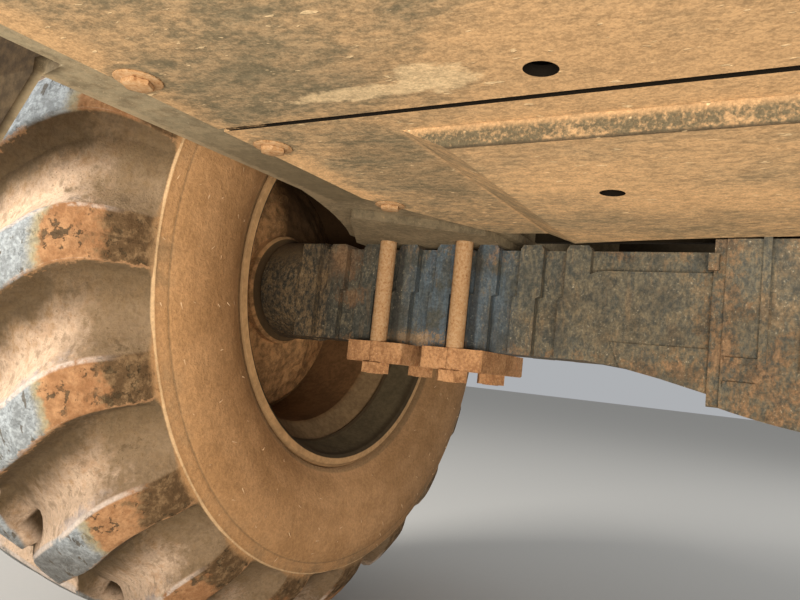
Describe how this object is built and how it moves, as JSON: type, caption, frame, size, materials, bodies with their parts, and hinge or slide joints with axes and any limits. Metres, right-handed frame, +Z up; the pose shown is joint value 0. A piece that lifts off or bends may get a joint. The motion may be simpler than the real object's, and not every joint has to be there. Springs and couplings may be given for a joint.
{
  "type": "dumper drive axle with wheels and underframe",
  "caption": "Rigid drive axle with lugged wheels, clamped by studs and plates under the rear underframe of a swivel site dumper, with bolted belly plates and pivot lugs.",
  "frame": {"origin": "middle of the top face of the cross member above the axle, level with the rails' tops", "axes": "+X across the machine to its right, along the axle; +Y towards the machine's front and its centre joint; +Z up"},
  "size_m": [2.47, 1.705, 1.1756],
  "materials": {
    "tyre": "worn lugs under dry ochre mud",
    "rim_paint": "dirty brown paint",
    "hub_paint": "muddy paint",
    "axle_paint": "dark slate paint with brown dust and rust",
    "clamp_steel": "rusty",
    "frame_paint": "dusty grey paint",
    "belly_paint": "worn grey paint under tan dust",
    "machined_steel": "dull"
  },
  "bodies": {
    "root": {"hub_carrier_left": "axle_paint", "hub_carrier_right": "axle_paint", "axle_arm_left": "axle_paint", "axle_arm_right": "axle_paint", "wing_stay_left": "frame_paint", "wing_stay_right": "frame_paint", "clamp_studs_left": "clamp_steel", "clamp_studs_right": "clamp_steel", "rail_left": "frame_paint", "rail_right": "frame_paint", "axle_seat_left": "frame_paint", "axle_seat_right": "frame_paint", "clamp_plate_outer_left": "clamp_steel", "clamp_plate_inner_left": "clamp_steel", "clamp_plate_outer_right": "clamp_steel", "clamp_plate_inner_right": "clamp_steel", "axle_centre": "axle_paint", "pinion_nose": "axle_paint", "input_flange": "machined_steel", "rear_cross_plate": "frame_paint", "front_cross_plate": "frame_paint", "axle_cross_member": "frame_paint", "pivot_lug_upper": "frame_paint", "pivot_lug_lower": "frame_paint", "pivot_lug_gussets": "frame_paint", "belly_plate_rear": "belly_paint", "belly_plate_front": "belly_paint"},
    "wheel_left": {"tyre_left": "tyre", "rim_left": "rim_paint", "hub_left": "hub_paint"},
    "wheel_right": {"tyre_right": "tyre", "rim_right": "rim_paint", "hub_right": "hub_paint"}
  },
  "joints": [
    {"name": "wheel_left_spin", "type": "hinge", "parent": "root", "child": "wheel_left", "pos_m": [-0.985, 0, -0.333], "axis": [1, 0, 0], "continuous": true},
    {"name": "wheel_right_spin", "type": "hinge", "parent": "root", "child": "wheel_right", "pos_m": [0.985, 0, -0.333], "axis": [1, 0, 0], "continuous": true}
  ]
}
